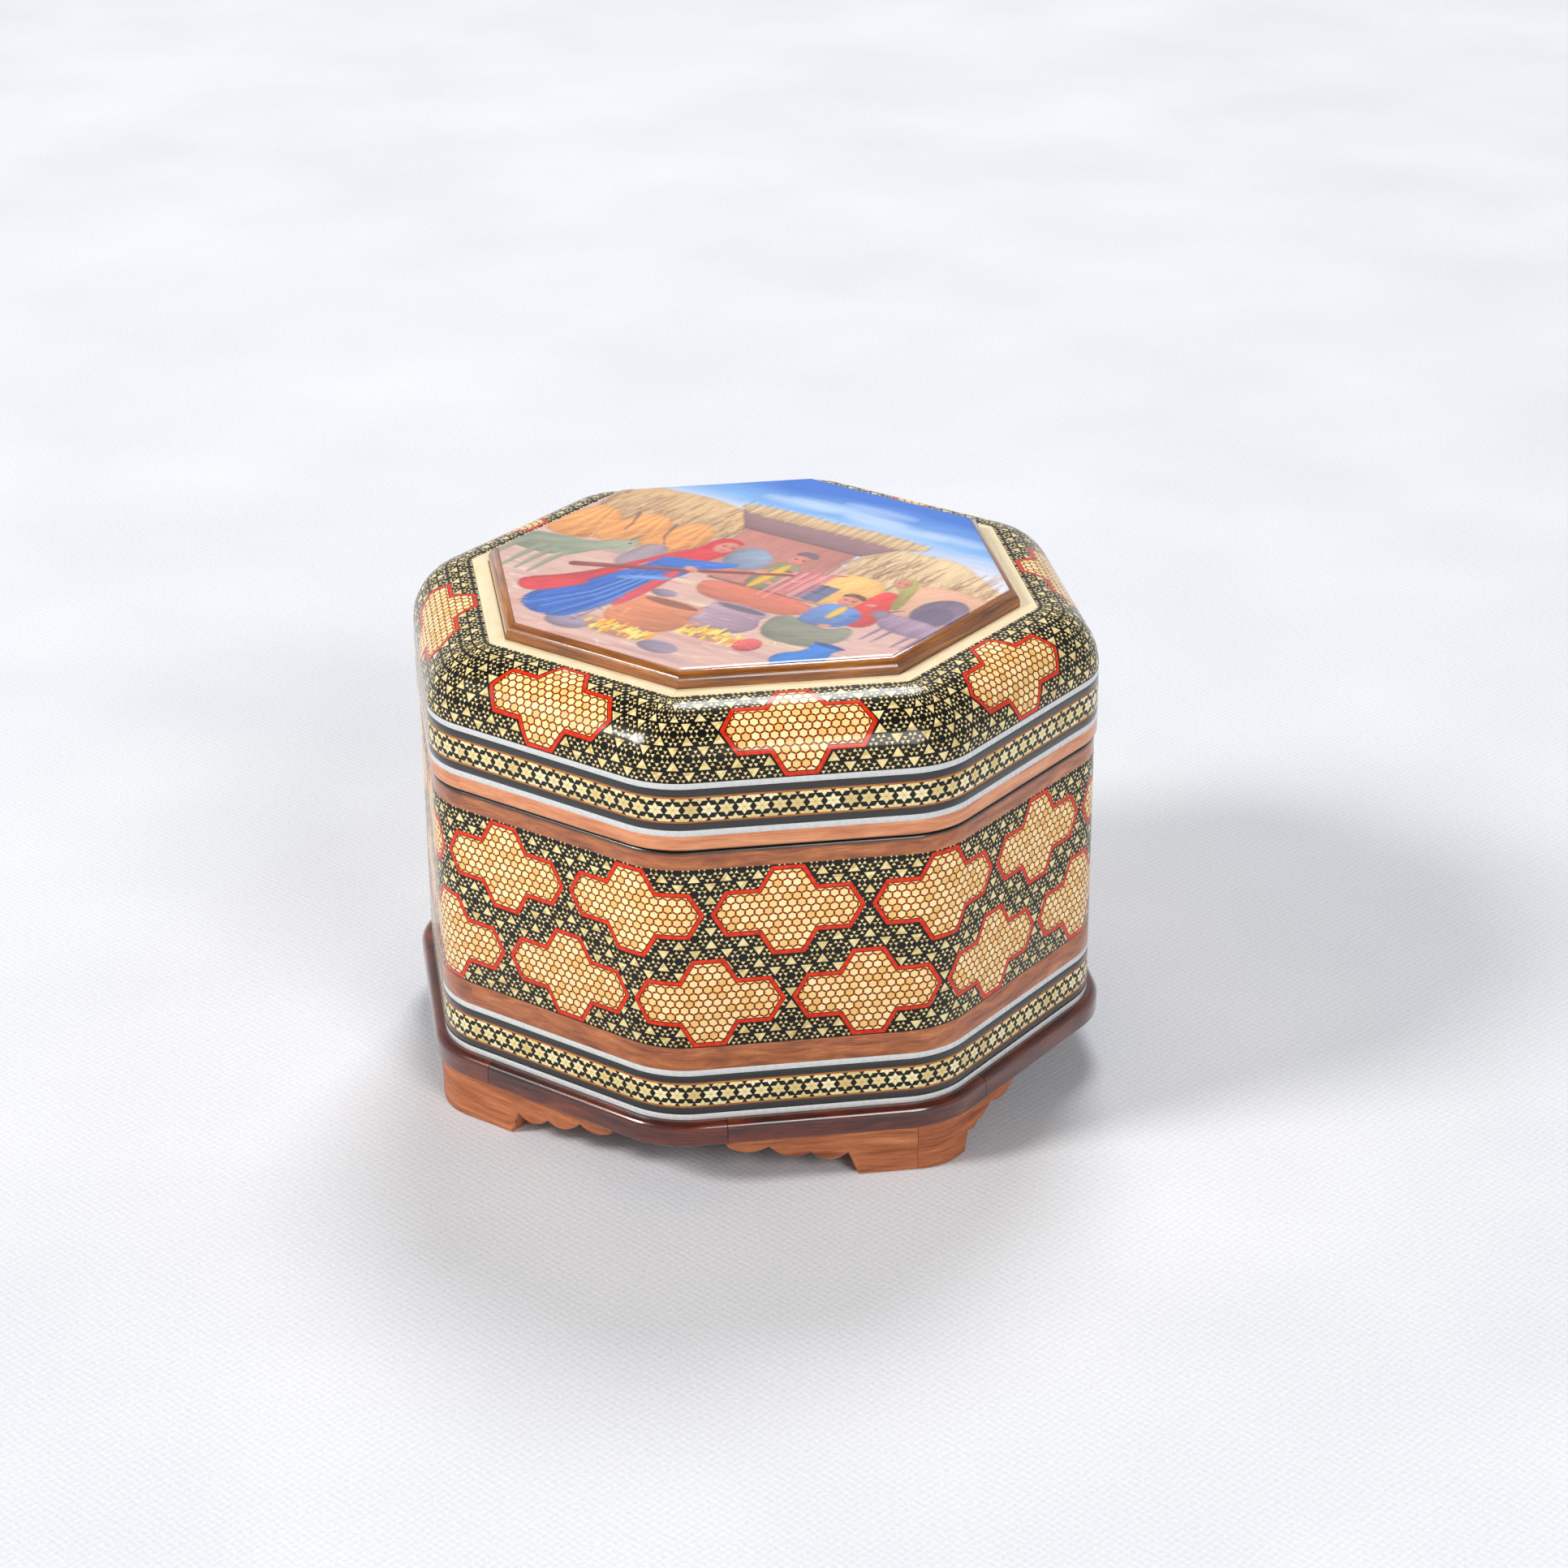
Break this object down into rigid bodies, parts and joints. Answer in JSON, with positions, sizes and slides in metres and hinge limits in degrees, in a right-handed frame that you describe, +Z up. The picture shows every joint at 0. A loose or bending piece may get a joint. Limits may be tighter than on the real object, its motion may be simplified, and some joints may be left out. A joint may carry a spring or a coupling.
{
  "type": "inlaid wooden box",
  "caption": "Eight-sided wooden box with hinged domed lid, geometric marquetry bands, raised painted plaque, plinth and scalloped bracket feet.",
  "frame": {"origin": "middle of the footprint, on the surface that the feet rest on", "axes": "+Z up; the front face looks towards -Y and the lid is hinged on the back face, towards +Y; X runs along the hinge"},
  "size_m": [0.1446, 0.1459, 0.108],
  "materials": {
    "khatam_field": "fine geometric marquetry of pale, black and red triangles and hexagons under clear gloss lacquer",
    "khatam_star": "marquetry band of pale six-pointed stars on black, gloss lacquer",
    "white_line": "thin white line, gloss",
    "black_line": "thin black line, gloss",
    "strip_wood": "brown figured wood strip, gloss lacquer",
    "rim_wood": "reddish light wood, gloss lacquer",
    "plinth_wood": "dark red-brown wood, thick gloss lacquer",
    "foot_wood": "light walnut, satin",
    "core_wood": "plain softwood core",
    "plaque_wood": "dark brown figured wood, gloss lacquer",
    "painting": "painted village scene under clear varnish",
    "bone": "pale cream bone, polished",
    "velvet": "wine-red velvet over card",
    "hinge_brass": "polished brass"
  },
  "bodies": {
    "case": {"case_black_line_lower": "black_line", "case_black_line_upper": "black_line", "case_bottom": "core_wood", "case_field_inlay": "khatam_field", "case_floor_pad": "velvet", "case_lining": "velvet", "case_lower_strip": "strip_wood", "case_star_band": "khatam_star", "case_upper_strip": "strip_wood", "case_white_line_lower": "white_line", "case_white_line_upper": "white_line", "foot_1_left": "foot_wood", "foot_1_right": "foot_wood", "foot_2_left": "foot_wood", "foot_2_right": "foot_wood", "foot_3_left": "foot_wood", "foot_3_right": "foot_wood", "foot_4_left": "foot_wood", "foot_4_right": "foot_wood", "hinge_leaves_case": "hinge_brass", "hinge_pins": "hinge_brass", "hinge_screws_case": "hinge_brass", "plinth_rail_1": "plinth_wood", "plinth_rail_2": "plinth_wood", "plinth_rail_3": "plinth_wood", "plinth_rail_4": "plinth_wood", "plinth_rail_5": "plinth_wood", "plinth_rail_6": "plinth_wood", "plinth_rail_7": "plinth_wood", "plinth_rail_8": "plinth_wood", "wall_stave_1": "core_wood", "wall_stave_2": "core_wood", "wall_stave_3": "core_wood", "wall_stave_4": "core_wood", "wall_stave_5": "core_wood", "wall_stave_6": "core_wood", "wall_stave_7": "core_wood", "wall_stave_8": "core_wood"},
    "lid": {"hinge_leaves_lid": "hinge_brass", "hinge_screws_lid": "hinge_brass", "ivory_frame": "bone", "lid_black_line_lower": "black_line", "lid_black_line_upper": "black_line", "lid_lining": "velvet", "lid_rim": "rim_wood", "lid_shoulder_inlay": "khatam_field", "lid_star_band": "khatam_star", "lid_stave_1": "core_wood", "lid_stave_2": "core_wood", "lid_stave_3": "core_wood", "lid_stave_4": "core_wood", "lid_stave_5": "core_wood", "lid_stave_6": "core_wood", "lid_stave_7": "core_wood", "lid_stave_8": "core_wood", "lid_top_panel": "core_wood", "lid_white_line_lower": "white_line", "lid_white_line_upper": "white_line", "painted_panel": "painting", "plaque": "plaque_wood"}
  },
  "joints": [
    {"name": "lid_hinge", "type": "hinge", "parent": "case", "child": "lid", "pos_m": [0, 0.0721, 0.0766], "axis": [-1, 0, 0], "range_deg": [0, 100]}
  ]
}
